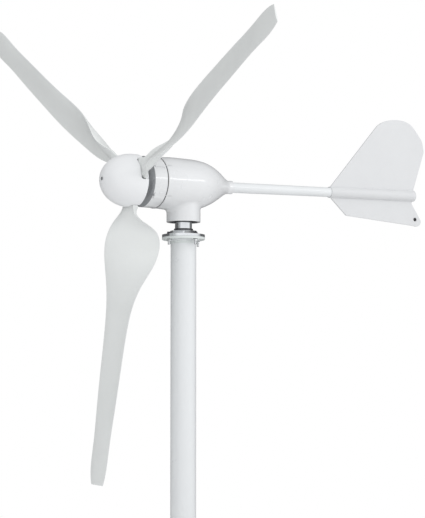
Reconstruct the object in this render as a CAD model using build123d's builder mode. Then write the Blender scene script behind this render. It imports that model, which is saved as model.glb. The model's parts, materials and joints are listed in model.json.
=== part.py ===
from build123d import *
import math
import os

os.makedirs("parts", exist_ok=True)

# Small horizontal-axis wind turbine on a round steel mast.
# Frame: origin at the centre of the mast foot, +Z up, +X from the yaw axis to the rotor.
# All lengths are millimetres.

# ---------------------------------------------------------------- driving dimensions
joint_height = 720.0        # face where the mast flange and the yaw flange meet
axis_height = 845.0         # rotor axis above the mast foot
tight = 0.02                # radial gap of fixed cylindrical fits
running = 0.05              # radial gap of running fits

mast_radius = 30.15         # standard 60.3 mm pipe
mast_wall = 3.2
flange_radius = 50.5
flange_thickness = 6.0
flange_bore_radius = 15.0
weld_height = 9.0
weld_width = 1.8
weld_land = 0.5             # depth the pipe is turned down by where the weld sits
bolt_circle_radius = 44.0
bolt_count = 4
bolt_start_angle = 6.0

# Fastener proportions, as shares of the thread size.
hex_share = 0.85            # half the width across flats
cap_radius_share = 0.85
cap_height_share = 0.9
socket_radius_share = 0.42
socket_depth_share = 0.5

spindle_radius = 20.0
spindle_bore_radius = 14.0
spindle_top = 812.0
yaw_bearing_outer_radius = 34.0
yaw_bearing_width = 15.0
lower_bearing_height = 771.5
upper_bearing_height = 794.5
neck_radius = 40.0
neck_bottom = 756.0
neck_top = 806.0
neck_lip_radius = 30.0

shell_wall = 4.0
shell_front = 80.0
gasket_thickness = 2.0
housing_radius = 60.0
housing_shoulder = 116.0
housing_nose = 128.0
housing_nose_radius = 44.0

shaft_bearing_bore_radius = 10.0
shaft_bearing_outer_radius = 23.5
shaft_bearing_width = 14.0
rear_bearing_x = 63.0
front_bearing_x = 113.0
stator_rear = 84.0
stator_length = 22.0
stator_slots = 12
magnet_count = 10
magnet_radius = 35.2

hub_rear = 131.0
hub_plate_thickness = 8.0
tang_thickness = 16.0
clamp_thickness = 5.0
hub_radius = 53.5
rotor_plane = 181.0         # plane that the blade stations are measured from
blade_count = 3
blade_phase = 6.0           # lowest blade's angle away from straight down
blade_bolt_radii = (33.0, 48.0)

spinner_rim = 136.0
spinner_bulge = 148.0       # where the straight skirt turns into the dome
spinner_radius = 62.5
spinner_dome = 76.0
spinner_wall = 2.5

boom_start = -100.0
boom_length = 480.0
boom_rise_angle = 1.45      # boom climbs towards the tail
boom_radius = 12.5
boom_tip_radius = 11.3
boom_wall = 2.0
socket_radius = 15.8
socket_end = -136.0
spine_radius = 13.8
fin_front = -430.0
fin_rear = -690.0
fin_thickness = 4.0

# ---------------------------------------------------------------- shared geometry
mast_axis = Axis((0, 0, 0), (0, 0, 1))
shaft_axis = Axis((0, 0, axis_height), (1, 0, 0))
side_view = Plane(origin=(0, 0, axis_height), x_dir=(1, 0, 0), z_dir=(0, -1, 0))


def across(x):
    """Plane square to the rotor axis at station x; its local x is +Y and its local y is +Z."""
    return Plane(origin=(x, 0, axis_height), x_dir=(0, 1, 0), z_dir=(1, 0, 0))


def revolved(points, section, axis):
    """A turned piece from its half section."""
    with BuildPart() as turned:
        with BuildSketch(section):
            with BuildLine():
                Polyline(*points, close=True)
            make_face()
        revolve(axis=axis)
    return turned


def hex_screws(seat, places, size, length, head_height):
    """Hexagon-head screws that stand on the seat plane, with their shanks below it."""
    with BuildPart() as screws:
        with BuildSketch(seat):
            with Locations(*places):
                RegularPolygon(hex_share * size, 6, major_radius=False)
        extrude(amount=head_height)
        with BuildSketch(seat):
            with Locations(*places):
                Circle(size / 2)
        extrude(amount=-length)
    return screws


def socket_screws(seat, places, size, length):
    """Cap-head screws with a hexagon socket, standing on the seat plane."""
    with BuildPart() as screws:
        with BuildSketch(seat):
            with Locations(*places):
                Circle(cap_radius_share * size)
        extrude(amount=cap_height_share * size)
        with BuildSketch(seat.offset(cap_height_share * size)):
            with Locations(*places):
                RegularPolygon(socket_radius_share * size, 6, major_radius=False)
        extrude(amount=-socket_depth_share * size, mode=Mode.SUBTRACT)
        with BuildSketch(seat):
            with Locations(*places):
                Circle(size / 2)
        extrude(amount=-length)
    return screws


def rings(seats, inner_radius, outer_radius, width):
    """Flat rings centred on the seat planes, such as washers, seals and slip rings."""
    with BuildPart() as flat:
        for seat in seats:
            with BuildSketch(seat.offset(-width / 2)):
                Circle(outer_radius)
                Circle(inner_radius, mode=Mode.SUBTRACT)
            extrude(amount=width)
    return flat


def bearing_races(seats, inner_radius, outer_radius, width, pitch_radius, ball_radius):
    """Inner or outer races of ball bearings, with the ball track cut into them."""
    with BuildPart() as races:
        for seat in seats:
            section = Plane(origin=seat.origin, x_dir=seat.x_dir, z_dir=-seat.y_dir)
            with BuildSketch(section):
                with Locations(((inner_radius + outer_radius) / 2, 0)):
                    Rectangle(outer_radius - inner_radius, width)
                with Locations((pitch_radius, 0)):
                    Circle(ball_radius + running, mode=Mode.SUBTRACT)
            revolve(axis=Axis(seat.origin, seat.z_dir))
    return races


def bearing_balls(seats, pitch_radius, ball_radius, count):
    """The balls of one or more bearings, spaced evenly round their pitch circle."""
    with BuildPart() as balls:
        for seat in seats:
            with Locations(seat):
                with PolarLocations(pitch_radius, count):
                    Sphere(ball_radius)
    return balls


def ring_places(radius, count, start_angle=0.0):
    """Points of a bolt circle in the local coordinates of its plane."""
    angles = [math.radians(start_angle + 360 * i / count) for i in range(count)]
    return [(radius * math.cos(a), radius * math.sin(a)) for a in angles]


# ---------------------------------------------------------------- mast
weld_foot = joint_height - flange_thickness - weld_height
land_radius = mast_radius - weld_land
with BuildPart() as mast_tube:
    with BuildSketch(Plane.XY):
        Circle(mast_radius)
        Circle(mast_radius - mast_wall, mode=Mode.SUBTRACT)
    extrude(amount=weld_foot)
    with BuildSketch(Plane.XY.offset(weld_foot)):
        Circle(land_radius)
        Circle(mast_radius - mast_wall, mode=Mode.SUBTRACT)
    extrude(amount=weld_height)

flange_places = ring_places(bolt_circle_radius, bolt_count, bolt_start_angle)
bolt_size = 5.0
bolt_hole_radius = 2.8
bolt_head_height = 3.5
bolt_tail = 8.0             # thread that stands out below the nut
rim_chamfer = 0.8

with BuildPart() as mast_flange:
    with BuildSketch(Plane.XY.offset(joint_height - flange_thickness)):
        Circle(flange_radius)
        Circle(flange_bore_radius, mode=Mode.SUBTRACT)
        with Locations(*flange_places):
            Circle(bolt_hole_radius, mode=Mode.SUBTRACT)
    extrude(amount=flange_thickness)
    rim_edges = mast_flange.edges().filter_by(GeomType.CIRCLE).sort_by(SortBy.RADIUS)[-2:]
    chamfer(rim_edges, rim_chamfer)
    with BuildSketch(Plane.XY.offset(weld_foot)):
        Circle(mast_radius + weld_width)
        Circle(land_radius, mode=Mode.SUBTRACT)
    extrude(amount=weld_height)

washer_thickness = 1.2
washer_heights = (
    joint_height + flange_thickness + washer_thickness / 2,
    joint_height - flange_thickness - washer_thickness / 2,
)
nut_height = 4.0
bolt_grip = 2 * flange_thickness + 2 * washer_thickness
bolt_seat = Plane.XY.offset(joint_height + flange_thickness + washer_thickness)
nut_seat = Plane.XY.offset(joint_height - flange_thickness - washer_thickness - nut_height)
bolt_length = bolt_grip + nut_height + bolt_tail
flange_bolts = hex_screws(bolt_seat, flange_places, bolt_size, bolt_length, bolt_head_height)

with BuildPart() as flange_washers:
    for height in washer_heights:
        with BuildSketch(Plane.XY.offset(height - washer_thickness / 2)):
            with Locations(*flange_places):
                Circle(bolt_size)
                Circle(bolt_size / 2 + running, mode=Mode.SUBTRACT)
        extrude(amount=washer_thickness)

with BuildPart() as flange_nuts:
    with BuildSketch(nut_seat):
        with Locations(*flange_places):
            RegularPolygon(hex_share * bolt_size, 6, major_radius=False)
            Circle(bolt_size / 2 + running, mode=Mode.SUBTRACT)
    extrude(amount=nut_height)

# ---------------------------------------------------------------- yaw flange and spindle
spindle_foot = joint_height + 2
cone_foot_radius = 37.0
cone_top_radius = 31.0
cone_top = joint_height + 15

yaw_flange_profile = [
    (flange_bore_radius, joint_height),
    (flange_radius, joint_height),
    (flange_radius, joint_height + flange_thickness),
    (cone_foot_radius, joint_height + flange_thickness),
    (cone_top_radius, cone_top),
    (spindle_radius + tight, cone_top),
    (spindle_radius + tight, spindle_foot),
    (flange_bore_radius, spindle_foot),
]
with BuildPart() as yaw_flange:
    with BuildSketch(Plane.XZ):
        with BuildLine():
            Polyline(*yaw_flange_profile, close=True)
        make_face()
    revolve(axis=mast_axis)
    with BuildSketch(Plane.XY.offset(joint_height)):
        with Locations(*flange_places):
            Circle(bolt_hole_radius)
    extrude(amount=flange_thickness, mode=Mode.SUBTRACT)

shoulder_radius = 22.5
shoulder_bottom = neck_bottom + 2
shoulder_top = lower_bearing_height - yaw_bearing_width / 2
spindle_profile = [
    (spindle_bore_radius, spindle_foot),
    (spindle_radius, spindle_foot),
    (spindle_radius, shoulder_bottom),
    (shoulder_radius, shoulder_bottom),
    (shoulder_radius, shoulder_top),
    (spindle_radius, shoulder_top),
    (spindle_radius, spindle_top),
    (spindle_bore_radius, spindle_top),
]
yaw_spindle = revolved(spindle_profile, Plane.XZ, mast_axis)

seal_height = 5.0
dust_seal_radius = 22.5
yaw_dust_seal = rings(
    [Plane.XY.offset(cone_top + seal_height / 2)],
    spindle_radius + tight,
    dust_seal_radius,
    seal_height,
)

yaw_seats = [Plane.XY.offset(lower_bearing_height), Plane.XY.offset(upper_bearing_height)]
yaw_pitch_radius = (spindle_radius + yaw_bearing_outer_radius) / 2
yaw_ball_radius = 4.0
race_depth = 4.7
yaw_bearing_inner_races = bearing_races(
    yaw_seats,
    spindle_radius + tight,
    spindle_radius + race_depth,
    yaw_bearing_width,
    yaw_pitch_radius,
    yaw_ball_radius,
)
spacer_height = upper_bearing_height - lower_bearing_height - yaw_bearing_width
spacer_middle = (upper_bearing_height + lower_bearing_height) / 2
spacer_wall = 3.5
bearing_spacer = rings(
    [Plane.XY.offset(spacer_middle)],
    spindle_radius + tight,
    spindle_radius + spacer_wall,
    spacer_height,
)

lock_nut_bottom = upper_bearing_height + yaw_bearing_width / 2
lock_nut_height = 7.0
lock_nut_radius = 26.0
lock_nut_slots = 4
lock_nut_slot = (4.0, 5.0)  # depth and width of each spanner slot
with BuildPart() as spindle_lock_nut:
    with BuildSketch(Plane.XY.offset(lock_nut_bottom)):
        Circle(lock_nut_radius)
        Circle(spindle_radius + tight, mode=Mode.SUBTRACT)
        with PolarLocations(lock_nut_radius, lock_nut_slots):
            Rectangle(*lock_nut_slot, mode=Mode.SUBTRACT)
    extrude(amount=lock_nut_height)

# ---------------------------------------------------------------- slip rings and cable
sleeve_radius = 12.0
sleeve_bore_radius = 6.0
sleeve_foot_radius = 18.0
sleeve_foot_height = 3.0
sleeve_length = 32.0
sleeve_top = spindle_top + sleeve_length
sleeve_profile = [
    (sleeve_bore_radius, spindle_top),
    (sleeve_foot_radius, spindle_top),
    (sleeve_foot_radius, spindle_top + sleeve_foot_height),
    (sleeve_radius, spindle_top + sleeve_foot_height),
    (sleeve_radius, sleeve_top),
    (sleeve_bore_radius, sleeve_top),
]
slip_ring_sleeve = revolved(sleeve_profile, Plane.XZ, mast_axis)

slip_ring_radius = 15.0
slip_ring_width = 5.0
slip_ring_pitch = 8.0
slip_ring_heights = [spindle_top + slip_ring_pitch * i for i in (1, 2, 3)]
slip_rings = rings(
    [Plane.XY.offset(height) for height in slip_ring_heights],
    sleeve_radius + tight,
    slip_ring_radius,
    slip_ring_width,
)

cable_radius = 4.5
cable_end = 12.0
with BuildPart() as output_cable:
    with BuildSketch(Plane.XY.offset(cable_end)):
        Circle(cable_radius)
    extrude(amount=sleeve_top - cable_end)

# ---------------------------------------------------------------- nacelle shell
# Stations of the body: place along the axis, rise of its centre, outer radius.
body_stations = (
    (shell_front, 0, 61.5),
    (50, 0, 61.7),
    (20, 0, 61.5),
    (-10, 0.4, 60.5),
    (-40, 1.4, 56.8),
    (-70, 2.6, 46.5),
    (-95, 3, 32),
    (-114, 2.4, 19.5),
    (-124, 1.8, 15.5),
)
boom_rise = math.tan(math.radians(boom_rise_angle))
boom_lift = 1.2             # height of the boom's start above the rotor axis
boom_origin = (boom_start, 0, axis_height + boom_lift)
boom_direction = (-1, 0, boom_rise)
boom_axis = Axis(boom_origin, boom_direction)
boom_section = Plane(origin=boom_origin, x_dir=boom_direction, z_dir=(0, 1, 0))
socket_plane = Plane(origin=boom_origin, x_dir=(0, 1, 0), z_dir=boom_direction)
socket_depth = boom_start - socket_end

lug_angles = (-36.0, 36.0, 144.0, 216.0)
lug_screw_radius = 59.4
lug_places = [
    (lug_screw_radius * math.cos(math.radians(a)), lug_screw_radius * math.sin(math.radians(a)))
    for a in lug_angles
]
lug_screw_size = 3.0
lug_front = 113.0
lug_screw_length = 46.0
lug_hole_depth = 14.0
neck_fillet = 11.0
neck_filling = 20.0         # height above the neck's foot where its core starts
socket_gap = 12.0           # distance from the boom's start to the socket's solid part

with BuildPart() as nacelle_shell:
    for station, rise, radius in body_stations:
        with BuildSketch(across(station)):
            with Locations((0, rise)):
                Circle(radius)
    loft()
    with BuildSketch(Plane.XY.offset(neck_bottom)):
        Circle(neck_radius)
    extrude(amount=neck_top - neck_bottom)
    neck_joint = nacelle_shell.edges().filter_by(
        lambda edge: edge.length > 5 * neck_radius
        and neck_bottom < edge.center().Z - neck_fillet / 2
        and edge.center().Z < neck_top
    )
    fillet(neck_joint, neck_fillet)
    with BuildSketch(socket_plane.offset(socket_gap)):
        Circle(socket_radius)
    extrude(amount=socket_depth - socket_gap)
    for station, rise, radius in body_stations[:-1]:
        with BuildSketch(across(station)):
            with Locations((0, rise)):
                Circle(radius - shell_wall)
    loft(mode=Mode.SUBTRACT)
    with BuildSketch(Plane.XY.offset(neck_bottom + neck_filling)):
        Circle(neck_radius)
    extrude(amount=neck_top - neck_bottom - neck_filling)
    with BuildSketch(Plane.XY.offset(neck_bottom)):
        Circle(yaw_bearing_outer_radius + tight)
    extrude(amount=lock_nut_bottom - neck_bottom, mode=Mode.SUBTRACT)
    with BuildSketch(Plane.XY.offset(lock_nut_bottom)):
        Circle(neck_lip_radius)
    extrude(amount=neck_top - lock_nut_bottom, mode=Mode.SUBTRACT)
    with BuildSketch(socket_plane):
        Circle(boom_radius + tight)
    extrude(amount=socket_depth, mode=Mode.SUBTRACT)
    with BuildSketch(across(shell_front)):
        with Locations(*lug_places):
            Circle(lug_screw_size / 2 + running)
    extrude(amount=-lug_hole_depth, mode=Mode.SUBTRACT)

neck_seal_middle = neck_bottom + 3.5
neck_seal_gap = 0.1
neck_seal = rings(
    [Plane.XY.offset(neck_seal_middle)],
    shoulder_radius + neck_seal_gap,
    yaw_bearing_outer_radius,
    seal_height,
)
yaw_bearing_outer_races = bearing_races(
    yaw_seats,
    yaw_bearing_outer_radius - race_depth,
    yaw_bearing_outer_radius,
    yaw_bearing_width,
    yaw_pitch_radius,
    yaw_ball_radius,
)
yaw_ball_count = 12
yaw_bearing_balls = bearing_balls(yaw_seats, yaw_pitch_radius, yaw_ball_radius, yaw_ball_count)

# ---------------------------------------------------------------- front housing and generator
housing_rear = shell_front + gasket_thickness
housing_wall = 4.0
boss_radius = 28.0
bearing_hole_radius = shaft_bearing_outer_radius + tight
front_bearing_rear = front_bearing_x - shaft_bearing_width / 2
front_bearing_front = front_bearing_x + shaft_bearing_width / 2
seal_hole_radius = 17.5
nose_inside = housing_nose - housing_wall
cone_inset = 2.5            # the cone's wall is thicker than the skirt's by this at its nose
cone_setback = 2.0
housing_profile = [
    (housing_rear, housing_radius),
    (housing_shoulder, housing_radius),
    (housing_nose, housing_nose_radius),
    (housing_nose, seal_hole_radius),
    (front_bearing_front, seal_hole_radius),
    (front_bearing_front, bearing_hole_radius),
    (front_bearing_rear, bearing_hole_radius),
    (front_bearing_rear, boss_radius),
    (nose_inside, boss_radius),
    (nose_inside, housing_nose_radius - cone_inset),
    (housing_shoulder - cone_setback, housing_radius - housing_wall),
    (housing_rear, housing_radius - housing_wall),
]
lug_width = 15.0
lug_height = 6.5
lug_middle_radius = 59.5
lug_rear = housing_rear + 3.0
lug_floor = 8.0             # thickness left behind the lugs' front faces
with BuildPart() as front_housing:
    with BuildSketch(side_view):
        with BuildLine():
            Polyline(*housing_profile, close=True)
        make_face()
    revolve(axis=shaft_axis)
    with BuildSketch(across(lug_rear)):
        for angle in lug_angles:
            with PolarLocations(lug_middle_radius, 1, angle):
                Rectangle(lug_height, lug_width)
    extrude(amount=lug_front - lug_rear)
    with BuildSketch(across(housing_rear)):
        Circle(housing_radius - housing_wall)
    extrude(amount=lug_front - housing_rear - lug_floor, mode=Mode.SUBTRACT)
    with BuildSketch(across(housing_rear)):
        with Locations(*lug_places):
            Circle(lug_screw_size / 2 + running)
    extrude(amount=lug_front - housing_rear, mode=Mode.SUBTRACT)
    with BuildSketch(across(lug_front)):
        with Locations(*lug_places):
            Circle(lug_screw_size)
    extrude(amount=housing_nose - lug_front, mode=Mode.SUBTRACT)

housing_screws = socket_screws(across(lug_front), lug_places, lug_screw_size, lug_screw_length)

gasket_hole_gap = 0.3
with BuildPart() as housing_gasket:
    with BuildSketch(across(shell_front)):
        Circle(housing_radius)
        Circle(housing_radius - housing_wall, mode=Mode.SUBTRACT)
        with Locations(*lug_places):
            Circle(lug_screw_size / 2 + gasket_hole_gap, mode=Mode.SUBTRACT)
    extrude(amount=gasket_thickness)

shaft_seal = rings(
    [across((front_bearing_front + housing_nose) / 2)],
    shaft_bearing_bore_radius + running,
    seal_hole_radius - tight,
    housing_nose - front_bearing_front,
)

plate_radius = 56.4
plate_front = rear_bearing_x + shaft_bearing_width / 2
plate_thickness = 6.0
plate_hole_circle = 42.5
plate_hole_radius = 8.0
plate_hole_count = 6
plate_hole_angle = 30.0
with BuildPart() as bearing_plate:
    with BuildSketch(across(plate_front - plate_thickness)):
        Circle(plate_radius)
        Circle(bearing_hole_radius, mode=Mode.SUBTRACT)
        with PolarLocations(plate_hole_circle, plate_hole_count, plate_hole_angle):
            Circle(plate_hole_radius, mode=Mode.SUBTRACT)
    extrude(amount=plate_thickness)
    with BuildSketch(across(plate_front - shaft_bearing_width)):
        Circle(boss_radius)
        Circle(bearing_hole_radius, mode=Mode.SUBTRACT)
    extrude(amount=shaft_bearing_width)

shaft_seats = [across(rear_bearing_x), across(front_bearing_x)]
shaft_pitch_radius = (shaft_bearing_bore_radius + shaft_bearing_outer_radius) / 2
shaft_ball_radius = 3.9
shaft_bearing_outer_races = bearing_races(
    shaft_seats,
    shaft_bearing_outer_radius - race_depth,
    shaft_bearing_outer_radius,
    shaft_bearing_width,
    shaft_pitch_radius,
    shaft_ball_radius,
)
shaft_bearing_inner_races = bearing_races(
    shaft_seats,
    shaft_bearing_bore_radius + tight,
    shaft_bearing_bore_radius + race_depth,
    shaft_bearing_width,
    shaft_pitch_radius,
    shaft_ball_radius,
)
shaft_ball_count = 8
shaft_bearing_balls = bearing_balls(
    shaft_seats, shaft_pitch_radius, shaft_ball_radius, shaft_ball_count
)

stator_radius = housing_radius - housing_wall - tight
yoke_radius = 51.0
tooth_width = 8.0
tooth_tip_radius = 36.0
tooth_overlap = 1.0         # how far each tooth reaches into the yoke
tip_middle_radius = tooth_tip_radius + 1.5
tip_thickness = 2.4
tip_overhang = 3.0          # on each side of the tooth
with BuildPart() as stator_core:
    with BuildSketch(across(stator_rear)):
        Circle(stator_radius)
        Circle(yoke_radius, mode=Mode.SUBTRACT)
        with PolarLocations((yoke_radius + tooth_tip_radius) / 2 + tooth_overlap, stator_slots):
            Rectangle(yoke_radius - tooth_tip_radius + tooth_overlap, tooth_width)
        with PolarLocations(tip_middle_radius, stator_slots):
            Rectangle(tip_thickness, tooth_width + 2 * tip_overhang)
        Circle(tooth_tip_radius, mode=Mode.SUBTRACT)
    extrude(amount=stator_length)

stator_middle = stator_rear + stator_length / 2
coil_middle_radius = 44.9
coil_thickness = 3.6
coil_height = 11.0
coil_gap = 0.1
with BuildPart(across(stator_middle)) as stator_coils:
    with PolarLocations(coil_middle_radius, stator_slots):
        Box(coil_height, tooth_width + 2 * coil_thickness, stator_length + 2 * coil_thickness)
        Box(
            coil_height + 1,
            tooth_width + 2 * coil_gap,
            stator_length + 2 * coil_gap,
            mode=Mode.SUBTRACT,
        )

# ---------------------------------------------------------------- brush gear and leads
block_rear = -38.0
block_front = -24.0
block_top = sleeve_top
block_foot = 6.0            # thickness of the leg that stands on the neck's floor
block_half_width = 9.0
brush_width = 5.8
brush_height = 3.8
brush_gap = 0.1             # all round each brush in its pocket
brush_rear = block_front - 7.0
brush_air = 0.5             # between a brush and its slip ring
pocket_depth = 8.0
with BuildPart() as brush_block:
    with BuildSketch(Plane.XZ):
        with BuildLine():
            Polyline(
                (block_rear, neck_top),
                (block_rear + block_foot, neck_top),
                (block_rear + block_foot, spindle_top + sleeve_foot_height),
                (block_front, spindle_top + sleeve_foot_height),
                (block_front, block_top),
                (block_rear, block_top),
                close=True,
            )
        make_face()
    extrude(amount=block_half_width, both=True)
    for height in slip_ring_heights:
        with BuildSketch(Plane.YZ.offset(block_front)):
            with Locations((0, height)):
                Rectangle(brush_width + 2 * brush_gap, brush_height + 2 * brush_gap)
        extrude(amount=-pocket_depth, mode=Mode.SUBTRACT)

with BuildPart() as brushes:
    for height in slip_ring_heights:
        with BuildSketch(Plane.YZ.offset(brush_rear)):
            with Locations((0, height)):
                Rectangle(brush_width, brush_height)
        extrude(amount=-slip_ring_radius - brush_air - brush_rear)

lead_radius = 1.6
lead_spacing = 6.0
lead_height = axis_height + 43
lead_bend = 30.0
lead_drop = 12.0
lead_end = block_rear + 7.0
lead_air = 0.3
lead_gather = 0.6           # the leads lie closer together at the coils
lead_start = stator_middle - stator_length / 2 - coil_thickness - brush_air
with BuildPart() as phase_leads:
    for shift in (-lead_spacing, 0, lead_spacing):
        with BuildLine():
            lead_path = Polyline(
                (lead_start, lead_gather * shift, lead_height),
                (lead_bend, lead_gather * shift, lead_height),
                (lead_end, shift, lead_height - lead_drop),
                (lead_end, shift, block_top + lead_air),
            )
        with BuildSketch(Plane(origin=lead_path @ 0, z_dir=lead_path % 0)):
            Circle(lead_radius)
        sweep(path=lead_path, transition=Transition.ROUND)

# ---------------------------------------------------------------- tail boom and fin
boom_profile = [
    (0, boom_radius),
    (socket_depth, boom_radius),
    (boom_length, boom_tip_radius),
    (boom_length, boom_tip_radius - boom_wall),
    (socket_depth, boom_radius - boom_wall),
    (0, boom_radius - boom_wall),
]
with BuildPart() as tail_boom:
    with BuildSketch(boom_section):
        with BuildLine():
            Polyline(*boom_profile, close=True)
        make_face()
    revolve(axis=boom_axis)

# Outline of the fin in the turbine's plane of symmetry: (x, height above the rotor axis).
upper_front = (fin_front, 22)
upper_shoulder = (-572, 180)
upper_rear = (-724, 129)
crown = [upper_shoulder, (-609, 201), (-648, 205), (-685, 194), (-710, 167), upper_rear]
spine_rear_top = (fin_rear, 32)
spine_rear_bottom = (fin_rear + 6, -4)
tail_corner = (-713, -45)
tail_foot = (-693, -59)
keel_front = (-479, -45)
lower_front = (fin_front - 4, -6)
tie_hole = (-694, -43)
tie_hole_radius = 3.4
foot_bend = (-709, -56)     # middle of the rounded lower corner
spine_lead = 2.0            # how far the spine starts ahead of the fin
bore_gap = 0.1              # between the boom and the fin's bore
bore_run_out = 1.0

with BuildPart() as tail_fin:
    with BuildSketch(side_view):
        with BuildLine():
            Line(upper_front, upper_shoulder)
            Spline(*crown, tangents=[(-142, 158), (-8, -60)])
            Line(upper_rear, spine_rear_top)
            Line(spine_rear_top, spine_rear_bottom)
            Line(spine_rear_bottom, tail_corner)
            ThreePointArc(tail_corner, foot_bend, tail_foot)
            Line(tail_foot, keel_front)
            Line(keel_front, lower_front)
            Line(lower_front, upper_front)
        make_face()
        with Locations(tie_hole):
            Circle(tie_hole_radius, mode=Mode.SUBTRACT)
    extrude(amount=fin_thickness / 2, both=True)
    with BuildSketch(socket_plane.offset(boom_start - fin_front - spine_lead)):
        Circle(spine_radius)
    extrude(amount=fin_front - fin_rear + spine_lead)
    with BuildSketch(boom_section):
        with BuildLine():
            Polyline(
                (0, 0),
                (0, boom_radius + bore_gap),
                (socket_depth, boom_radius + bore_gap),
                (boom_length + bore_run_out, boom_tip_radius + bore_gap),
                (boom_length + bore_run_out, 0),
                close=True,
            )
        make_face()
    revolve(axis=boom_axis, mode=Mode.SUBTRACT)

# ---------------------------------------------------------------- rotor
hub_face = hub_rear + hub_plate_thickness
clamp_rear = hub_face + tang_thickness
clamp_front = clamp_rear + clamp_thickness
hub_bore_radius = 9.0
thread_radius = 8.0
shaft_overhang = 2.0        # behind the rear bearing
thread_length = 16.0
shaft_rear = rear_bearing_x - shaft_bearing_width / 2 - shaft_overhang
shaft_front = clamp_front + thread_length
core_shoulder_radius = 12.0
shaft_profile = [
    (shaft_rear, 0),
    (shaft_rear, shaft_bearing_bore_radius),
    (plate_front, shaft_bearing_bore_radius),
    (plate_front, core_shoulder_radius),
    (front_bearing_rear, core_shoulder_radius),
    (front_bearing_rear, shaft_bearing_bore_radius),
    (hub_rear, shaft_bearing_bore_radius),
    (hub_rear, hub_bore_radius),
    (clamp_front, hub_bore_radius),
    (clamp_front, thread_radius),
    (shaft_front, thread_radius),
    (shaft_front, 0),
]
key_width = 5.0
key_length = 14.0
key_gap = 0.1
key_start = hub_rear + 5
with BuildPart() as main_shaft:
    with BuildSketch(side_view):
        with BuildLine():
            Polyline(*shaft_profile, close=True)
        make_face()
    revolve(axis=shaft_axis)
    with BuildSketch(across(key_start)):
        with Locations((0, hub_bore_radius)):
            Rectangle(key_width, key_width)
    extrude(amount=key_length, mode=Mode.SUBTRACT)

with BuildPart() as shaft_key:
    with BuildSketch(across(key_start)):
        with Locations((0, hub_bore_radius)):
            Rectangle(key_width, key_width)
    extrude(amount=key_length)

rotor_core_radius = 30.0
rotor_core = rings(
    [across(stator_middle)], core_shoulder_radius + tight, rotor_core_radius, stator_length
)
magnet_notch = (20.0, 2.5)  # groove that sets each magnet off from the next
with BuildPart() as rotor_magnets:
    with BuildSketch(across(stator_rear)):
        Circle(magnet_radius)
        Circle(rotor_core_radius + tight, mode=Mode.SUBTRACT)
        with PolarLocations(magnet_radius, magnet_count):
            Rectangle(*magnet_notch, mode=Mode.SUBTRACT)
    extrude(amount=stator_length)

blade_angles = [-90 - blade_phase - 120 * i for i in range(blade_count)]
blade_bolt_places = []
for angle in blade_angles:
    for radius in blade_bolt_radii:
        turn = math.radians(angle)
        blade_bolt_places.append((radius * math.cos(turn), radius * math.sin(turn)))

blade_bolt_size = 6.0
hub_boss_radius = 17.0
with BuildPart() as hub:
    with BuildSketch(across(hub_rear)):
        Circle(hub_radius)
    extrude(amount=hub_plate_thickness)
    with BuildSketch(across(hub_face)):
        Circle(hub_boss_radius)
    extrude(amount=tang_thickness)
    with BuildSketch(across(hub_rear)):
        Circle(hub_bore_radius + tight)
        with Locations(*blade_bolt_places):
            Circle(blade_bolt_size / 2 + running)
    extrude(amount=hub_plate_thickness + tang_thickness, mode=Mode.SUBTRACT)
    with BuildSketch(across(hub_rear)):
        with Locations((0, hub_bore_radius)):
            Rectangle(key_width, key_width + 2 * key_gap)
    extrude(amount=key_start + key_length - hub_rear, mode=Mode.SUBTRACT)

with BuildPart() as blade_clamp_plate:
    with BuildSketch(across(clamp_rear)):
        Circle(hub_radius)
        Circle(hub_bore_radius + tight, mode=Mode.SUBTRACT)
        with Locations(*blade_bolt_places):
            Circle(blade_bolt_size / 2 + running, mode=Mode.SUBTRACT)
    extrude(amount=clamp_thickness)

blade_bolt_length = 28.0
blade_bolt_head = 4.0
blade_bolts = hex_screws(
    across(clamp_front), blade_bolt_places, blade_bolt_size, blade_bolt_length, blade_bolt_head
)
hub_washer_thickness = 2.0
hub_washer_radius = 15.0
hub_washer = rings(
    [across(clamp_front + hub_washer_thickness / 2)],
    thread_radius + running,
    hub_washer_radius,
    hub_washer_thickness,
)
hub_nut_height = 10.0
hub_nut_half_width = 12.0
with BuildPart() as hub_nut:
    with BuildSketch(across(clamp_front + hub_washer_thickness)):
        RegularPolygon(hub_nut_half_width, 6, major_radius=False)
        Circle(thread_radius + running, mode=Mode.SUBTRACT)
    extrude(amount=hub_nut_height)

# Blade stations from root to tip: radius, chord, twist in degrees, leading edge ahead of the
# blade's own radial line, leading edge ahead of the rotor plane, thickness, blunt end share.
blade_stations = (
    (56, 52, 0, 26, -34, 15, 0.85),
    (64, 51, 3, 26, -33, 15, 0.85),
    (74, 46, 15, 24, -27, 15, 0.6),
    (90, 65, 31, 27, -16, 17, 0.4),
    (110, 103, 47, 28, -3, 18, 0.2),
    (135, 125, 52, 29, 6, 17, 0.13),
    (165, 128, 49, 34, 6, 15.5, 0.1),
    (200, 119, 38, 38, 0, 13.5, 0.1),
    (240, 100, 26, 39, -7, 12, 0.12),
    (290, 85, 15, 37, -10, 11, 0.14),
    (350, 77, 10.5, 33, -7, 10, 0.15),
    (430, 71, 10, 30, -1, 8.5, 0.16),
    (530, 65, 9, 28, 5, 7, 0.18),
    (620, 60, 7, 27, 9.5, 6, 0.2),
    (690, 56, 5, 26, 12.5, 5, 0.22),
    (710, 44, 5, 20, 12.5, 4, 0.25),
)
blade_camber = 0.05
thickest_share = 0.3         # place along the chord where the section is thickest
cambered_chord = 60.0        # narrower sections belong to the round neck
section_shares = (1.0, 0.65, 0.3, 0.08)     # places along the chord, tail to nose


def half_thickness(share, thickness, blunt):
    """Half the section's thickness: full from 30 % of the chord, falling to the blunt tail."""
    if share < thickest_share:
        return thickness / 2 * math.sqrt(share / thickest_share)
    fall = ((share - thickest_share) / (1 - thickest_share)) ** 1.5
    return thickness / 2 * (1 - (1 - blunt) * fall)


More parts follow.
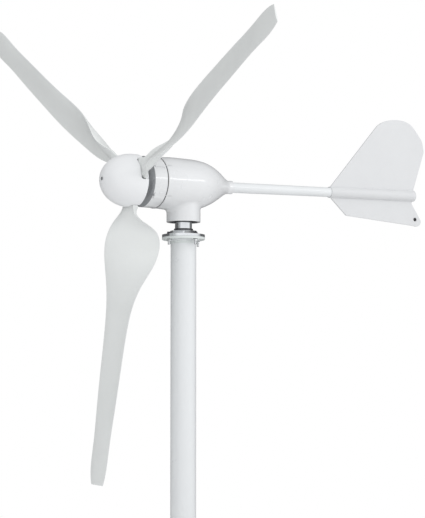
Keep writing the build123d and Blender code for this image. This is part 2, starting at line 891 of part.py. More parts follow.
def section_outline(chord, twist, lead, rise, thickness, blunt):
    """Points of one blade section from the tail over the rear side, round the nose and back."""
    lean = math.radians(twist)
    curve = blade_camber if chord > cambered_chord else 0.0
    points = []
    for side in (1, -1):
        shares = section_shares if side > 0 else section_shares[::-1]
        if side < 0:
            points.append((lead, rise))
        for share in shares:
            run = share * chord
            bow = 4 * curve * chord * share * (1 - share)
            off = bow + side * half_thickness(share, thickness, blunt)
            across_chord = (math.sin(lean) * off, -math.cos(lean) * off)
            along_chord = (-math.cos(lean) * run, -math.sin(lean) * run)
            points.append(
                (
                    lead + along_chord[0] + across_chord[0],
                    rise + along_chord[1] + across_chord[1],
                )
            )
    return points


def blade_plane(index, radius):
    """Plane across one blade; local x is the way the blade moves and local y is +X."""
    turn = math.radians(blade_phase + 120 * index)
    outward = Vector(0, -math.sin(turn), -math.cos(turn))
    ahead = Vector(0, -math.cos(turn), math.sin(turn))
    origin = Vector(rotor_plane, 0, axis_height) + outward * radius
    return Plane(origin=origin, x_dir=ahead, z_dir=-outward)


tang_start = 24.0
tang_end = 60.0
tang_width = 40.0
tang_middle = hub_face + tang_thickness / 2 - rotor_plane


def make_blade(index):
    """One blade: the lofted aerofoil, its flat tang between the hub plates and the bolt holes."""
    with BuildPart() as blade:
        for radius, chord, twist, lead, rise, thickness, blunt in blade_stations:
            outline = section_outline(chord, twist, lead, rise, thickness, blunt)
            with BuildSketch(blade_plane(index, radius)):
                with BuildLine():
                    Spline(*outline)
                    Line(outline[-1], outline[0])
                make_face()
        loft()
        with BuildSketch(blade_plane(index, tang_start)):
            with Locations((0, tang_middle)):
                Rectangle(tang_width, tang_thickness)
        extrude(amount=tang_start - tang_end)
        with BuildSketch(across(hub_rear)):
            with Locations(*blade_bolt_places[2 * index:2 * index + 2]):
                Circle(blade_bolt_size / 2 + running)
        extrude(amount=clamp_front - hub_rear, mode=Mode.SUBTRACT)
    return blade


blade_1 = make_blade(0)
blade_2 = make_blade(1)
blade_3 = make_blade(2)

# ---------------------------------------------------------------- spinner
spinner_apex = spinner_bulge + spinner_dome
spinner_screw_size = 5.0
screw_head_radius = 4.0
screw_head_recess = 0.6
screw_head_height = 2.4
cross_slot_width = 1.0
slot_half_width = 27.5
slot_half_depth = 9.5
slot_corner_radius = 6.0
slot_start = spinner_radius - 18.0
slot_reach = 30.0
slot_open_depth = tang_middle + rotor_plane - spinner_rim
with BuildPart() as spinner:
    with BuildSketch(side_view):
        with BuildLine():
            EllipticalCenterArc(
                (spinner_bulge, 0), spinner_dome, spinner_radius, start_angle=0, arc_size=90
            )
            Line((spinner_bulge, spinner_radius), (spinner_rim, spinner_radius))
            Line((spinner_rim, spinner_radius), (spinner_rim, spinner_radius - spinner_wall))
            Line(
                (spinner_rim, spinner_radius - spinner_wall),
                (spinner_bulge, spinner_radius - spinner_wall),
            )
            EllipticalCenterArc(
                (spinner_bulge, 0),
                spinner_dome - spinner_wall,
                spinner_radius - spinner_wall,
                start_angle=0,
                arc_size=90,
            )
            Line(
                (spinner_bulge + spinner_dome - spinner_wall, 0),
                (spinner_bulge + spinner_dome, 0),
            )
        make_face()
    revolve(axis=shaft_axis)
    for index in range(blade_count):
        with BuildSketch(blade_plane(index, slot_start)):
            with Locations((0, tang_middle)):
                RectangleRounded(2 * slot_half_width, 2 * slot_half_depth, slot_corner_radius)
            with Locations((0, spinner_rim - rotor_plane)):
                Rectangle(2 * slot_half_width, slot_open_depth, align=(Align.CENTER, Align.MIN))
        extrude(amount=-slot_reach, mode=Mode.SUBTRACT)
    with BuildSketch(across(spinner_bulge)):
        Circle(spinner_screw_size / 2 + running)
    extrude(amount=spinner_dome, mode=Mode.SUBTRACT)
    with BuildSketch(across(spinner_apex - screw_head_recess)):
        Circle(screw_head_radius + running)
    extrude(amount=screw_head_recess, mode=Mode.SUBTRACT)

stud_radius = 5.0
stud_gap = 1.0
stud_end = spinner_apex - spinner_wall - stud_gap
screw_depth = 15.0
with BuildPart() as spinner_stud:
    with BuildSketch(across(shaft_front)):
        Circle(stud_radius)
    extrude(amount=stud_end - shaft_front)
    with BuildSketch(across(stud_end)):
        Circle(spinner_screw_size / 2)
    extrude(amount=-screw_depth, mode=Mode.SUBTRACT)

head_seat = spinner_apex - screw_head_recess
with BuildPart() as spinner_screw:
    with BuildSketch(across(head_seat)):
        Circle(spinner_screw_size / 2 - running)
    extrude(amount=-screw_depth)
    with BuildSketch(across(head_seat)):
        Circle(screw_head_radius)
    extrude(amount=screw_head_height)
    with BuildSketch(across(head_seat + screw_head_height)):
        Rectangle(1.5 * screw_head_radius, cross_slot_width)
        Rectangle(cross_slot_width, 1.5 * screw_head_radius)
    extrude(amount=-screw_head_height / 2, mode=Mode.SUBTRACT)

# ---------------------------------------------------------------- labels and files
pieces = {
    "mast_tube": mast_tube,
    "mast_flange": mast_flange,
    "flange_bolts": flange_bolts,
    "flange_washers": flange_washers,
    "flange_nuts": flange_nuts,
    "yaw_flange": yaw_flange,
    "yaw_spindle": yaw_spindle,
    "yaw_dust_seal": yaw_dust_seal,
    "yaw_bearing_inner_races": yaw_bearing_inner_races,
    "bearing_spacer": bearing_spacer,
    "spindle_lock_nut": spindle_lock_nut,
    "slip_ring_sleeve": slip_ring_sleeve,
    "slip_rings": slip_rings,
    "output_cable": output_cable,
    "nacelle_shell": nacelle_shell,
    "neck_seal": neck_seal,
    "yaw_bearing_outer_races": yaw_bearing_outer_races,
    "yaw_bearing_balls": yaw_bearing_balls,
    "front_housing": front_housing,
    "housing_screws": housing_screws,
    "housing_gasket": housing_gasket,
    "shaft_seal": shaft_seal,
    "bearing_plate": bearing_plate,
    "shaft_bearing_outer_races": shaft_bearing_outer_races,
    "shaft_bearing_balls": shaft_bearing_balls,
    "stator_core": stator_core,
    "stator_coils": stator_coils,
    "brush_block": brush_block,
    "brushes": brushes,
    "phase_leads": phase_leads,
    "tail_boom": tail_boom,
    "tail_fin": tail_fin,
    "shaft_bearing_inner_races": shaft_bearing_inner_races,
    "main_shaft": main_shaft,
    "shaft_key": shaft_key,
    "rotor_core": rotor_core,
    "rotor_magnets": rotor_magnets,
    "hub": hub,
    "blade_clamp_plate": blade_clamp_plate,
    "blade_bolts": blade_bolts,
    "hub_washer": hub_washer,
    "hub_nut": hub_nut,
    "blade_1": blade_1,
    "blade_2": blade_2,
    "blade_3": blade_3,
    "spinner": spinner,
    "spinner_stud": spinner_stud,
    "spinner_screw": spinner_screw,
}
for label, piece in pieces.items():
    piece.part.label = label
    export_step(piece.part, f"parts/{label}.step")
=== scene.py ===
import json
import math

import bmesh
import bpy
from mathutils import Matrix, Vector


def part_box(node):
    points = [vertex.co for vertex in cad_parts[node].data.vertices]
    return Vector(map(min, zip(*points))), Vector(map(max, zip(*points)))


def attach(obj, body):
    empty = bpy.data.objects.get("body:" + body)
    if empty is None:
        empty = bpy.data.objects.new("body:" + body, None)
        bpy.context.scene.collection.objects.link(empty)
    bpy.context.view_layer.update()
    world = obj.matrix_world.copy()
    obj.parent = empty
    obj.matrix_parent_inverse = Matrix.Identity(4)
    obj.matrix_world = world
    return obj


# Small wind turbine: a white nacelle that turns on a bolted mast flange, a three-blade
# rotor under a rounded spinner, and a tail boom with a flat fin.

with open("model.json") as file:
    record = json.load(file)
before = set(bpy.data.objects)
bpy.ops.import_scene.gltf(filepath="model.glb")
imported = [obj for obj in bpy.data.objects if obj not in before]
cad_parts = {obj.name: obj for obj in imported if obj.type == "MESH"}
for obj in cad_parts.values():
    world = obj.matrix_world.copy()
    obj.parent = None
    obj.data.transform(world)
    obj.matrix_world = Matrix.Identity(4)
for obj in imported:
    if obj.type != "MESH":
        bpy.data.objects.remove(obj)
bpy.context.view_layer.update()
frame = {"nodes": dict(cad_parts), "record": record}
nodes = frame["nodes"]
slot_of = {part["node"]: part["material_slot"] for part in frame["record"]["subparts"]}
slot_color = {m["slot"]: m["base_color"][:3] for m in frame["record"]["materials"]}

up = Vector((0, 0, 1))


def middle_of(node):
    """Centre of a CAD node's box."""
    low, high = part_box(node)
    return (Vector(low) + Vector(high)) / 2


def circle_point(index, count):
    """Cosine and sine of one step of a full turn divided into count steps."""
    turn = 2 * math.pi * index / count
    return math.cos(turn), math.sin(turn)


# ------------------------------------------------------------------ materials
class Nodes:
    """Short calls for building one material's node tree."""

    def __init__(self, name):
        self.material = bpy.data.materials.new(name)
        self.material.use_nodes = True
        self.tree = self.material.node_tree
        self.shader = self.tree.nodes["Principled BSDF"]
        self.place = self.add("ShaderNodeTexCoord").outputs["Object"]

    def add(self, kind, **settings):
        node = self.tree.nodes.new(kind)
        for key, value in settings.items():
            setattr(node, key, value)
        return node

    def link(self, source, socket):
        self.tree.links.new(source, socket)

    def put(self, socket, value):
        """Sets a socket from a number, a colour or another node's output."""
        if isinstance(value, bpy.types.NodeSocket):
            self.link(value, socket)
        else:
            socket.default_value = value

    def stretched(self, scale):
        """Object coordinates scaled by axis, for streaks and drawn grain."""
        node = self.add("ShaderNodeMapping")
        self.link(self.place, node.inputs["Vector"])
        node.inputs["Scale"].default_value = scale
        return node.outputs["Vector"]

    def noise(self, scale, detail=3.0, roughness=0.55, place=None):
        node = self.add("ShaderNodeTexNoise")
        self.link(place or self.place, node.inputs["Vector"])
        node.inputs["Scale"].default_value = scale
        node.inputs["Detail"].default_value = detail
        node.inputs["Roughness"].default_value = roughness
        return node.outputs["Fac"]

    def spread(self, value, low, high, start=0.3, end=0.7):
        """Maps a noise value between start and end to the range low to high."""
        node = self.add("ShaderNodeMapRange")
        self.link(value, node.inputs["Value"])
        node.inputs["From Min"].default_value = start
        node.inputs["From Max"].default_value = end
        node.inputs["To Min"].default_value = low
        node.inputs["To Max"].default_value = high
        return node.outputs["Result"]

    def mix(self, share, first, second):
        node = self.add("ShaderNodeMix", data_type="RGBA")
        self.put(node.inputs["Factor"], share)
        self.put(node.inputs["A"], first)
        self.put(node.inputs["B"], second)
        return node.outputs["Result"]

    def math(self, operation, first, second=0.0):
        node = self.add("ShaderNodeMath", operation=operation)
        self.put(node.inputs[0], first)
        self.put(node.inputs[1], second)
        return node.outputs["Value"]

    def edges(self, radius):
        """Mask that is 0 on flat faces and rises to 1 on worn edges."""
        bevel = self.add("ShaderNodeBevel", samples=4)
        bevel.inputs["Radius"].default_value = radius
        geometry = self.add("ShaderNodeNewGeometry")
        dot = self.add("ShaderNodeVectorMath", operation="DOT_PRODUCT")
        self.link(bevel.outputs["Normal"], dot.inputs[0])
        self.link(geometry.outputs["Normal"], dot.inputs[1])
        return self.spread(dot.outputs["Value"], 1.0, 0.0, 0.75, 0.99)

    def bump(self, height, distance, strength=1.0, before=None):
        node = self.add("ShaderNodeBump")
        node.inputs["Distance"].default_value = distance
        node.inputs["Strength"].default_value = strength
        self.link(height, node.inputs["Height"])
        if before is not None:
            self.link(before, node.inputs["Normal"])
        return node.outputs["Normal"]


def tinted(color, factor):
    return (*[min(1.0, c * factor) for c in color[:3]], 1.0)


# Painted shade: a dark grey and a lighter grey for the housing's front cone, standing in for
# the spinner's shadow there.
painted_shade_dark = (0.24, 0.25, 0.26, 1)
painted_shade_light = (0.46, 0.47, 0.49, 1)
painted_shade_blend = 0.0006                     # width of the line where the white paint gives way to the painted shade


def coated(name, color, rough=0.28, grime=(0.55, 0.53, 0.50), peel=0.00008, coat=0.5,
           streak=(7.0, 7.0, 7.0), tone=1.0, painted_shade_from=None):
    """Gloss paint: faint cloudy tint, orange peel, fine dust specks, dull worn edges.
    Ahead of painted_shade_from along X the casting is painted a dark, half-metallic grey as
    painted shade, standing in for the spinner's shadow on the front cone."""
    n = Nodes(name)
    color = tinted(color, tone)
    cloud = n.spread(n.noise(1.0, 4.0, place=n.stretched(streak)), 0.0, 1.0)
    base = n.mix(cloud, tinted(color, 0.975), tinted(color, 1.012))
    speck = n.spread(n.noise(260.0, 2.0), 0.0, 0.04, 0.66, 0.8)
    base = n.mix(speck, base, (*grime, 1))
    worn = n.math("MULTIPLY", n.edges(0.0012), n.spread(n.noise(90.0), 0.0, 0.14))
    base = n.mix(worn, base, (*grime, 1))
    if painted_shade_from is not None:
        split = n.add("ShaderNodeSeparateXYZ")
        n.link(n.place, split.inputs[0])
        # Painted shade: a mask that is 1 ahead of painted_shade_from, where the spinner shades
        # the front cone.
        painted_shade_mask = n.spread(split.outputs["X"], 0.0, 1.0, painted_shade_from, painted_shade_from + painted_shade_blend)
        painted_shade_lines = n.noise(700.0, 2.0, 0.6, n.stretched((0.02, 1.0, 1.0)))
        # The painted shade's colour: a dark grey with fine lines across it.
        metal = n.mix(painted_shade_lines, painted_shade_dark, painted_shade_light)
        base = n.mix(painted_shade_mask, base, metal)
        # The painted shade is also made partly metallic and loses its coat, so it mirrors the
        # dim side of the room.
        n.link(n.math("MULTIPLY", painted_shade_mask, 0.45), n.shader.inputs["Metallic"])
        n.link(n.math("SUBTRACT", coat, n.math("MULTIPLY", painted_shade_mask, coat)),
               n.shader.inputs["Coat Weight"])
    else:
        n.shader.inputs["Coat Weight"].default_value = coat
    n.link(base, n.shader.inputs["Base Color"])
    n.link(n.spread(n.noise(24.0), rough * 0.85, rough * 1.25), n.shader.inputs["Roughness"])
    n.shader.inputs["Coat Roughness"].default_value = 0.05
    soft = n.bump(n.noise(420.0, 1.0), peel)
    n.link(n.bump(n.noise(35.0, 2.0), peel, 1.0, soft), n.shader.inputs["Normal"])
    return n.material


def moulded(name, color, rough=0.38, grain_axis=(1, 1, 1), tint=0.04, tone=1.0):
    """Moulded plastic: fine grain, slow drift of tint, faint flow streaks."""
    n = Nodes(name)
    color = tinted(color, tone)
    drift = n.spread(n.noise(5.0, 3.0), 0.0, 1.0)
    base = n.mix(drift, tinted(color, 1 - tint), tinted(color, 1 + tint / 3))
    streak = n.spread(n.noise(16.0, 3.0, 0.6, n.stretched(grain_axis)), 0.0, 0.12, 0.45, 0.75)
    base = n.mix(streak, base, tinted(color, 0.86))
    worn = n.math("MULTIPLY", n.edges(0.001), n.spread(n.noise(120.0), 0.0, 0.25))
    base = n.mix(worn, base, tinted(color, 0.78))
    n.link(base, n.shader.inputs["Base Color"])
    n.link(n.spread(n.noise(40.0), rough * 0.85, rough * 1.2), n.shader.inputs["Roughness"])
    fine = n.bump(n.noise(900.0, 2.0), 0.00006)
    n.link(n.bump(n.noise(60.0, 2.0), 0.00012, 1.0, fine), n.shader.inputs["Normal"])
    return n.material


def turned(name, color, rough=0.16, axis="z", lines=900.0, line_depth=0.00004):
    """Bare turned metal: fine lathe lines round its axis, uneven polish, bright edges."""
    n = Nodes(name)
    scale = {"x": (1, 0.02, 0.02), "y": (0.02, 1, 0.02), "z": (0.02, 0.02, 1)}[axis]
    line = n.noise(lines, 2.0, 0.6, n.stretched(scale))
    stain = n.spread(n.noise(30.0, 4.0), 0.0, 1.0)
    base = n.mix(stain, tinted(color, 0.88), tinted(color, 1.06))
    base = n.mix(n.math("MULTIPLY", n.edges(0.0008), 0.5), base, tinted(color, 1.3))
    n.link(base, n.shader.inputs["Base Color"])
    n.shader.inputs["Metallic"].default_value = 1.0
    n.link(n.spread(line, rough * 0.7, rough * 1.5), n.shader.inputs["Roughness"])
    n.link(n.bump(line, line_depth), n.shader.inputs["Normal"])
    return n.material


def cast(name, color, rough=0.45):
    """Cast metal with machined sheen: pebbled skin and bright edges."""
    n = Nodes(name)
    mottle = n.spread(n.noise(45.0, 5.0), 0.0, 1.0)
    base = n.mix(mottle, tinted(color, 0.82), tinted(color, 1.06))
    base = n.mix(n.math("MULTIPLY", n.edges(0.001), 0.6), base, tinted(color, 1.3))
    n.link(base, n.shader.inputs["Base Color"])
    n.shader.inputs["Metallic"].default_value = 1.0
    n.link(n.spread(n.noise(150.0), rough * 0.8, rough * 1.3), n.shader.inputs["Roughness"])
    n.link(n.bump(n.noise(380.0, 4.0), 0.0002), n.shader.inputs["Normal"])
    return n.material


rub_brown = (0.30, 0.28, 0.26, 1)       # oxide rubbed thin on an edge
rubber_dust = (0.16, 0.155, 0.15, 1)
rubber_scuff = (0.2, 0.2, 0.2, 1)


def blackened(name, color, rough=0.42):
    """Black-oxide steel: near black with brown-grey rub marks on the edges."""
    n = Nodes(name)
    mottle = n.spread(n.noise(220.0, 4.0), 0.0, 1.0)
    base = n.mix(mottle, tinted(color, 0.4), tinted(color, 1.1))
    worn = n.math("MULTIPLY", n.edges(0.0005), n.spread(n.noise(400.0), 0.0, 0.35))
    base = n.mix(worn, base, rub_brown)
    n.link(base, n.shader.inputs["Base Color"])
    n.shader.inputs["Metallic"].default_value = 0.3
    n.link(n.spread(n.noise(300.0), rough * 0.8, rough * 1.3), n.shader.inputs["Roughness"])
    n.link(n.bump(n.noise(1200.0, 2.0), 0.00005), n.shader.inputs["Normal"])
    return n.material


def soft_black(name, color, rough=0.72):
    """Rubber: dusty, slightly brown in patches, fine pores."""
    n = Nodes(name)
    dust = n.spread(n.noise(130.0, 4.0), 0.0, 0.28)
    base = n.mix(dust, tinted(color, 1.0), rubber_dust)
    worn = n.math("MULTIPLY", n.edges(0.0008), 0.35)
    base = n.mix(worn, base, rubber_scuff)
    n.link(base, n.shader.inputs["Base Color"])
    n.link(n.spread(n.noise(90.0), rough * 0.85, rough * 1.15), n.shader.inputs["Roughness"])
    n.link(n.bump(n.noise(1500.0, 3.0), 0.00008), n.shader.inputs["Normal"])
    return n.material


wave_unit = 0.314                       # wave texture scale for bands one metre apart


def layered(name, color, pitch, axis, metal=1.0, rough=0.4, depth=0.0001, contrast=0.35):
    """Bands of a fixed pitch along one axis: stacked core sheets or the turns of a winding."""
    n = Nodes(name)
    wave = n.add("ShaderNodeTexWave", bands_direction=axis.upper())
    n.link(n.place, wave.inputs["Vector"])
    wave.inputs["Scale"].default_value = wave_unit / pitch
    wave.inputs["Distortion"].default_value = 0.4
    wave.inputs["Detail Scale"].default_value = 40.0
    band = wave.outputs["Fac"]
    base = n.mix(band, tinted(color, 1 - contrast), tinted(color, 1.1))
    base = n.mix(n.spread(n.noise(60.0, 4.0), 0.0, 0.3), base, tinted(color, 0.6))
    worn = n.math("MULTIPLY", n.edges(0.0008), 0.3)
    base = n.mix(worn, base, tinted(color, 1.4))
    n.link(base, n.shader.inputs["Base Color"])
    n.shader.inputs["Metallic"].default_value = metal
    n.link(n.spread(n.noise(120.0), rough * 0.8, rough * 1.3), n.shader.inputs["Roughness"])
    n.link(n.bump(band, depth), n.shader.inputs["Normal"])
    return n.material


# ------------------------------------------------------------------ finishes by slot
# The housing's cone begins this far behind its nose; ahead of it the casting is painted dark
# grey as painted shade from the spinner.
cone_length = 0.0122
cover_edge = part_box("front_housing")[1].x - cone_length


def finish_for(slot):
    """The material for one slot of the record."""
    color = slot_color[slot]
    if slot == "mast_white":
        return coated(slot, color, rough=0.32, coat=0.4, streak=(9.0, 9.0, 0.7), tone=0.94)
    if slot == "nacelle_white":
        # Painted shade darkens the housing's front cone ahead of cover_edge.
        return coated(slot, color, rough=0.3, coat=0.8, tone=0.88, painted_shade_from=cover_edge)
    if slot == "flange_grey":
        return coated(slot, color, rough=0.36, coat=0.3, tone=0.95)
    if slot == "blade_white":
        return moulded(slot, color, rough=0.42, tint=0.03)
    if slot == "spinner_white":
        return moulded(slot, color, rough=0.33, tint=0.015)
    if slot == "fin_white":
        return moulded(slot, color, rough=0.4, tint=0.02, tone=0.82)
    if slot == "insulation":
        return moulded(slot, color, rough=0.5, tint=0.12)
    if slot == "carbon":
        return moulded(slot, color, rough=0.62, tint=0.2)
    if slot == "polished_steel":
        return turned(slot, color, rough=0.07, lines=700.0, line_depth=0.00001)
    if slot == "bearing_steel":
        return turned(slot, color, rough=0.13)
    if slot == "ground_steel":
        return turned(slot, color, rough=0.3)
    if slot == "zinc_steel":
        return turned(slot, color, rough=0.34, lines=500.0)
    if slot == "slip_brass":
        return turned(slot, color, rough=0.2)
    if slot == "magnet_nickel":
        return turned(slot, color, rough=0.26, axis="x")
    if slot == "cast_aluminium":
        return cast(slot, color)
    if slot == "black_steel":
        return blackened(slot, color)
    if slot in ("black_rubber", "cable_black"):
        return soft_black(slot, color, rough=0.6 if slot == "cable_black" else 0.75)
    if slot == "core_steel":
        return layered(slot, color, pitch=0.001, axis="x", rough=0.5)
    if slot == "copper":
        return layered(slot, color, pitch=0.0014, axis="x", rough=0.28, depth=0.00025)
    raise KeyError(slot)


finish = {slot: finish_for(slot) for slot in sorted(set(slot_of.values()))}
for name, node in nodes.items():
    node.data.materials.clear()
    node.data.materials.append(finish[slot_of[name]])


# ------------------------------------------------------------------ fine detail
def new_piece(name, shape, body, slot):
    """A finished mesh piece that rides on a CAD body and wears a slot's material."""
    mesh = bpy.data.meshes.new(name)
    bmesh.ops.recalc_face_normals(shape, faces=shape.faces)
    for face in shape.faces:
        face.smooth = True
    shape.to_mesh(mesh)
    shape.free()
    piece = bpy.data.objects.new(name, mesh)
    bpy.context.scene.collection.objects.link(piece)
    mesh.materials.append(finish.get(slot) or finish_for(slot))
    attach(piece, body)
    return piece


def sweep_loops(shape, loops, closed):
    """Joins loops of points into a skin; closed joins the last loop to the first."""
    rows = [[shape.verts.new(point) for point in loop] for loop in loops]
    count = len(rows)
    last = count if closed else count - 1
    for i in range(last):
        a, b = rows[i], rows[(i + 1) % count]
        for j in range(len(a)):
            k = (j + 1) % len(a)
            shape.faces.new((a[j], a[k], b[k], b[j]))
    if not closed:
        shape.faces.new(rows[0])
        shape.faces.new(list(reversed(rows[-1])))


def weld_bead(name, radius, height, size, ripples, body, slot, sides=10, ripple_steps=6):
    """A hand-laid fillet weld round the mast, with overlapping ripples."""
    shape = bmesh.new()
    steps = ripples * ripple_steps
    ripple_swell, drift_swell = 0.16, 0.05
    loops = []
    for i in range(steps):
        turn = 2 * math.pi * i / steps
        swell = (
            1
            + ripple_swell * abs(math.sin(turn * ripples / 2))
            + drift_swell * math.sin(3 * turn)
        )
        outward = Vector((*circle_point(i, steps), 0))
        centre = up * height + outward * radius
        loop = []
        for j in range(sides):
            out, rise = circle_point(j, sides)
            loop.append(centre + (outward * out + up * rise) * size * swell)
        loops.append(loop)
    sweep_loops(shape, loops, closed=True)
    return new_piece(name, shape, body, slot)


def threaded_end(name, centre, top, bottom, radius, pitch, body, slot, sides=20):
    """The threaded point of a screw: sharp ridges over the shank and a bevelled tip."""
    shape = bmesh.new()
    groove, crest, tip = radius * 1.01, radius * 1.09, radius * 0.8
    profile = []
    height = top
    while height > bottom + pitch:
        profile += [(groove, height), (crest, height - pitch / 2)]
        height -= pitch
    profile += [(groove, bottom + pitch * 0.6), (tip, bottom - pitch * 0.2)]
    loops = []
    for reach, height in profile:
        ring = [circle_point(j, sides) for j in range(sides)]
        loops.append([
            Vector((centre.x + reach * x, centre.y + reach * y, height)) for x, y in ring
        ])
    sweep_loops(shape, loops, closed=False)
    return new_piece(name, shape, body, slot)


def grommet(name, centre, inner, outer, half_width, body, slot, steps=36):
    """A rubber grommet that lines a hole through the fin and laps over both faces."""
    shape = bmesh.new()
    near_half = [
        (inner * 1.05, half_width * 0.7),
        (inner * 1.3, half_width),
        (outer * 0.94, half_width * 0.92),
        (outer, half_width * 0.6),
    ]
    far_half = [(reach, -offset) for reach, offset in reversed(near_half)]
    section = [(inner, 0.0), *near_half, *far_half]
    loops = []
    for i in range(steps):
        x, z = circle_point(i, steps)
        loops.append([centre + Vector((r * x, y, r * z)) for r, y in section])
    sweep_loops(shape, loops, closed=True)
    return new_piece(name, shape, body, slot)


def columns(node, reach):
    """Centres of the separate upright parts of a CAD node, by grouping its points in plan."""
    groups = []
    for vertex in nodes[node].data.vertices:
        point = Vector((vertex.co.x, vertex.co.y, 0))
        for group in groups:
            if (group["seed"] - point).length < reach:
                group["low"] = Vector(map(min, group["low"], point))
                group["high"] = Vector(map(max, group["high"], point))
                break
        else:
            groups.append({"seed": point, "low": point, "high": point})
    return [(group["low"] + group["high"]) / 2 for group in groups]


mast_low, mast_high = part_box("mast_tube")
mast_radius = (mast_high.x - mast_low.x) / 2
bead_size = 0.0021
bead_ripples = 38
bead_out, bead_down = 0.0011, 0.0013    # from the pipe's corner with the flange
weld_bead(
    "mast_weld_bead", mast_radius + bead_out, mast_high.z - bead_down, bead_size,
    bead_ripples, "mast", "mast_white",
)

nut_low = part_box("flange_nuts")[0].z
bolt_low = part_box("flange_bolts")[0].z
bolt_radius = 0.0025
thread_pitch = 0.0008
nut_reach = 0.014                       # wider than one nut, narrower than their spacing
for number, place in enumerate(columns("flange_nuts", nut_reach)):
    threaded_end(
        f"flange_bolt_thread_{number + 1}", place, nut_low, bolt_low, bolt_radius,
        thread_pitch, "mast", "zinc_steel",
    )

tie_hole_x = -0.694
tie_hole_drop = 0.043                   # below the rotor axis
tie_hole = Vector((tie_hole_x, 0, middle_of("spinner").z - tie_hole_drop))
grommet(
    "tie_hole_grommet", tie_hole, inner=0.0014, outer=0.0046, half_width=0.0034,
    body="nacelle", slot="black_rubber",
)


# ------------------------------------------------------------------ camera
joint_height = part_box("mast_flange")[1].z
view_angle = math.radians(56.1)         # between the rotor axis and the line of sight
view_rise = math.radians(5.0)           # the camera looks up at the head
camera_distance = 5.889
camera_shift = 0.0685
focal_length = 173.745                  # millimetres on a 36 mm sensor
look_drop = 0.051                       # the aim is this far below the flange joint
target = Vector((0, 0, joint_height - look_drop))
sight = Vector((
    -math.cos(view_angle) * math.cos(view_rise),
    -math.sin(view_angle) * math.cos(view_rise),
    math.sin(view_rise),
))
right = Vector((-math.sin(view_angle), math.cos(view_angle), 0))

camera_data = bpy.data.cameras.new("camera")
camera_data.lens = focal_length
camera_data.clip_end = 100
camera = bpy.data.objects.new("camera", camera_data)
bpy.context.scene.collection.objects.link(camera)
camera.location = target - sight * camera_distance + right * camera_shift
camera.rotation_euler = sight.to_track_quat("-Z", "Y").to_euler()
bpy.context.scene.camera = camera
bpy.context.scene.view_settings.view_transform = "Standard"


# ------------------------------------------------------------------ light
cool_white = (0.985, 0.99, 1.0, 1)
plain_white = (1, 1, 1, 1)


def studio_world():
    """White to the eye; a soft studio that is brightest behind the camera to every surface."""
    world = bpy.data.worlds.new("studio")
    world.use_nodes = True
    tree = world.node_tree
    tree.nodes.clear()

    def add(kind, **settings):
        node = tree.nodes.new(kind)
        for key, value in settings.items():
            setattr(node, key, value)
        return node

    def direction_share(axis, low, high, dim, bright):
        """Brightness that climbs from dim to bright as the direction nears an axis."""
        dot = add("ShaderNodeVectorMath", operation="DOT_PRODUCT")
        tree.links.new(place.outputs["Generated"], dot.inputs[0])
        dot.inputs[1].default_value = axis.normalized()
        ramp = add("ShaderNodeMapRange", interpolation_type="SMOOTHSTEP")
        tree.links.new(dot.outputs["Value"], ramp.inputs["Value"])
        ramp.inputs["From Min"].default_value = low
        ramp.inputs["From Max"].default_value = high
        ramp.inputs["To Min"].default_value = dim
        ramp.inputs["To Max"].default_value = bright
        return ramp.outputs["Result"]

    place = add("ShaderNodeTexCoord")
    toward_camera = -sight
    soft_axis = toward_camera * 0.65 + right * 0.65 + up * 0.55
    panel_axis = toward_camera * 0.92 + right * 0.42
    soft = direction_share(soft_axis, low=-1.0, high=0.9, dim=0.57, bright=1.02)
    panel = direction_share(panel_axis, low=0.0, high=0.6, dim=0.14, bright=1.0)

    ray = add("ShaderNodeLightPath")
    seen = add("ShaderNodeMix", data_type="FLOAT")
    tree.links.new(ray.outputs["Is Glossy Ray"], seen.inputs["Factor"])
    tree.links.new(soft, seen.inputs["A"])
    tree.links.new(panel, seen.inputs["B"])
    lit = add("ShaderNodeBackground")
    lit.inputs["Color"].default_value = cool_white
    tree.links.new(seen.outputs["Result"], lit.inputs["Strength"])
    white = add("ShaderNodeBackground")
    white.inputs["Color"].default_value = plain_white
    blend = add("ShaderNodeMixShader")
    tree.links.new(ray.outputs["Is Camera Ray"], blend.inputs["Fac"])
    tree.links.new(lit.outputs["Background"], blend.inputs[1])
    tree.links.new(white.outputs["Background"], blend.inputs[2])
    output = add("ShaderNodeOutputWorld")
    tree.links.new(blend.outputs["Shader"], output.inputs["Surface"])
    return world


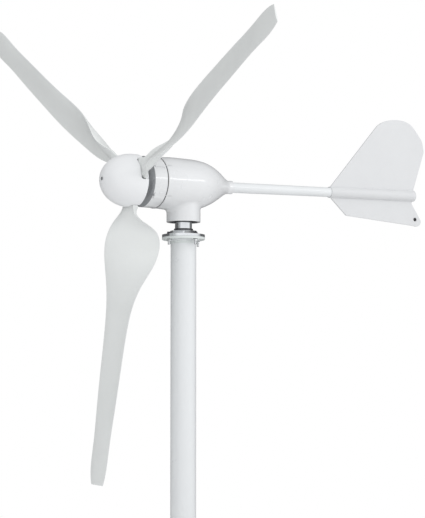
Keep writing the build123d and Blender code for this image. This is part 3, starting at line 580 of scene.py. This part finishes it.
def soft_light(name, toward, distance, width, height, power):
    """A rectangular soft box that faces the nacelle from a direction."""
    light = bpy.data.lights.new(name, "AREA")
    light.shape = "RECTANGLE"
    light.size = width
    light.size_y = height
    light.energy = power
    lamp = bpy.data.objects.new(name, light)
    bpy.context.scene.collection.objects.link(lamp)
    centre = up * middle_of("nacelle_shell").z
    lamp.location = centre + toward.normalized() * distance
    lamp.rotation_euler = (-toward).to_track_quat("-Z", "Y").to_euler()
    return lamp


bpy.context.scene.world = studio_world()
strip_toward = Vector((-0.556, 0.80, 0.23))     # mirrored by the shell's side to the camera
key_toward = -sight + right * 0.9 + up * 1.1
soft_light("strip", strip_toward, distance=4.0, width=1.5, height=0.22, power=6.0)
soft_light("key", key_toward, distance=3.6, width=1.8, height=1.8, power=14.0)


# ------------------------------------------------------------------ floor
floor_dark = (0.80, 0.80, 0.80, 1)
floor_light = (0.84, 0.84, 0.84, 1)
floor_gap = 0.0005                      # keeps the floor clear of the mast's foot


def pale_floor(radius, clear_radius, sides=96):
    """A pale round floor at the mast foot that fades into the white room."""
    mesh = bpy.data.meshes.new("floor")
    shape = bmesh.new()
    bmesh.ops.create_circle(shape, cap_ends=True, segments=sides, radius=radius)
    shape.to_mesh(mesh)
    shape.free()
    floor = bpy.data.objects.new("floor", mesh)
    bpy.context.scene.collection.objects.link(floor)
    floor.location.z = mast_low.z - floor_gap
    n = Nodes("floor")
    length = n.add("ShaderNodeVectorMath", operation="LENGTH")
    n.link(n.place, length.inputs[0])
    far = n.spread(length.outputs["Value"], 1.0, 0.0, clear_radius, radius)
    tone = n.spread(n.noise(3.0, 3.0), 0.0, 1.0)
    n.link(n.mix(tone, floor_dark, floor_light), n.shader.inputs["Base Color"])
    n.shader.inputs["Roughness"].default_value = 0.8
    n.link(n.bump(n.noise(300.0, 2.0), 0.0002), n.shader.inputs["Normal"])
    n.link(far, n.shader.inputs["Alpha"])
    mesh.materials.append(n.material)
    return floor


pale_floor(radius=2.4, clear_radius=0.5)
